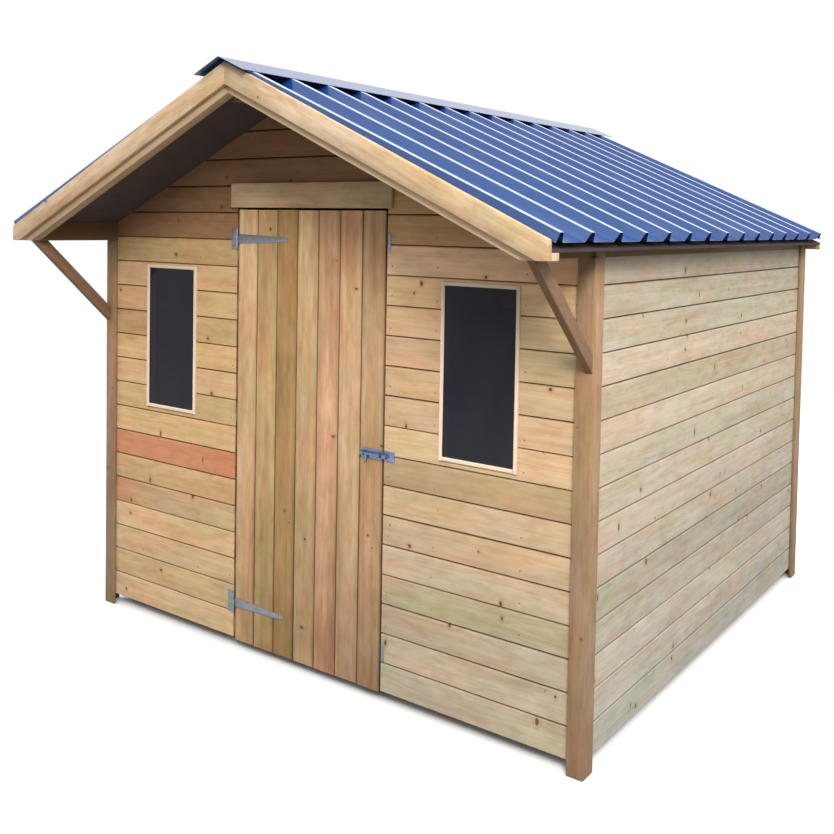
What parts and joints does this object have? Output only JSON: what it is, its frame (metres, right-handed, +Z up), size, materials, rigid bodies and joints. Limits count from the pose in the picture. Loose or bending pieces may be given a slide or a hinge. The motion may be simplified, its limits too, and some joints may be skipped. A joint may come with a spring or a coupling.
{
  "type": "wooden garden shed",
  "caption": "Apex garden shed with horizontal boarding, a ledged door between fixed windows and a ribbed steel roof that overhangs the front on knee braces.",
  "frame": {"origin": "on the ground under the middle of the roof's outline", "axes": "+X to the right seen from the front, +Y from the door towards the rear wall, +Z up"},
  "size_m": [2.6328, 3.039, 2.3795],
  "materials": {
    "board_timber": "planed pressure-treated softwood with knots, unpainted",
    "door_timber": "planed softwood boards of mixed colour",
    "trim_timber": "planed softwood, browner than the boarding",
    "barge_timber": "planed softwood, pale yellow",
    "frame_timber": "rough-sawn softwood",
    "pale_timber": "planed pale softwood",
    "floor_timber": "planed softwood floor boards",
    "treated_timber": "rough-sawn treated softwood, greenish",
    "roof_lining": "smooth dark grey-brown lining board",
    "blue_steel": "blue factory coating, semi-gloss",
    "galvanised_steel": "zinc plated, dull",
    "window_glass": "clear sheet glass, dark from the unlit inside"
  },
  "bodies": {
    "root": {"floor_bearers": "treated_timber", "floor_boards": "floor_timber", "front_wall_left": "board_timber", "front_wall_right": "board_timber", "front_gable": "board_timber", "rear_wall": "board_timber", "left_wall": "board_timber", "right_wall": "board_timber", "front_frame_left": "frame_timber", "front_frame_right": "frame_timber", "front_frame_top": "frame_timber", "rear_frame": "frame_timber", "left_frame": "frame_timber", "right_frame": "frame_timber", "corner_trim_front_left": "trim_timber", "corner_trim_front_right": "trim_timber", "corner_trim_rear_left": "trim_timber", "corner_trim_rear_right": "trim_timber", "door_header": "trim_timber", "window_frame_left": "pale_timber", "window_frame_right": "pale_timber", "window_glass_left": "window_glass", "window_glass_right": "window_glass", "eave_beam_left": "frame_timber", "eave_beam_right": "frame_timber", "ridge_beam": "frame_timber", "rafters_left": "frame_timber", "rafters_right": "frame_timber", "roof_deck_left": "roof_lining", "roof_deck_right": "roof_lining", "roof_sheet_left": "blue_steel", "roof_sheet_right": "blue_steel", "ridge_cap": "blue_steel", "bargeboards_front": "barge_timber", "bargeboards_rear": "barge_timber", "knee_brace_left": "trim_timber", "knee_brace_right": "trim_timber", "hinge_plates": "galvanised_steel", "bolt_keep": "galvanised_steel", "jamb_plates": "galvanised_steel"},
    "door": {"door_boards": "door_timber", "door_ledges": "frame_timber", "hinge_straps": "galvanised_steel", "bolt_plate": "galvanised_steel"},
    "bolt": {"bolt_rod": "galvanised_steel"}
  },
  "joints": [
    {"name": "door_hinge", "type": "hinge", "parent": "root", "child": "door", "pos_m": [-0.386, -1.0305, 0.9625], "axis": [0, 0, -1], "range_deg": [0, 120]},
    {"name": "bolt_slide", "type": "slide", "parent": "door", "child": "bolt", "axis": [1, 0, 0], "range_m": [0, 0.036]}
  ]
}
